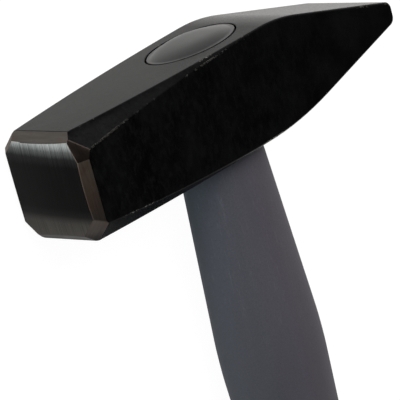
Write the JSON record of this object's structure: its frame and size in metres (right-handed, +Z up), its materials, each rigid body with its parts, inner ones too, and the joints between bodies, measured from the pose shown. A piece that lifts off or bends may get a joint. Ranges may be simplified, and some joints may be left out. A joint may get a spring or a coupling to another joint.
{
  "type": "cross peen hammer",
  "caption": "Engineer's cross-peen hammer: square crowned face, corner flats, wedge peen and domed eye cap on a grey oval plastic handle with a black rubber grip.",
  "frame": {"origin": "on the surface the hammer lies on, below the middle of its overall box", "axes": "+X along the head towards the peen, +Y along the handle from the butt to the head's top, +Z up, square to the cheeks"},
  "size_m": [0.118, 0.3216, 0.027],
  "materials": {
    "black_lacquered_steel": "drop-forged steel under thin black lacquer, striking face and its chamfer ground bare",
    "cap_plastic": "moulded black plastic, satin",
    "epoxy_resin": "cast amber epoxy",
    "glass_fibre": "pultruded glass fibre in polyester, fine lengthwise strands",
    "grey_polypropylene": "moulded grey polypropylene, fine matt texture",
    "black_rubber": "moulded soft rubber, matt"
  },
  "bodies": {
    "root": {"hammer_head": "black_lacquered_steel", "eye_cap": "cap_plastic", "eye_resin": "epoxy_resin", "handle_core": "glass_fibre", "handle_jacket": "grey_polypropylene", "grip_sleeve": "black_rubber"}
  },
  "joints": []
}
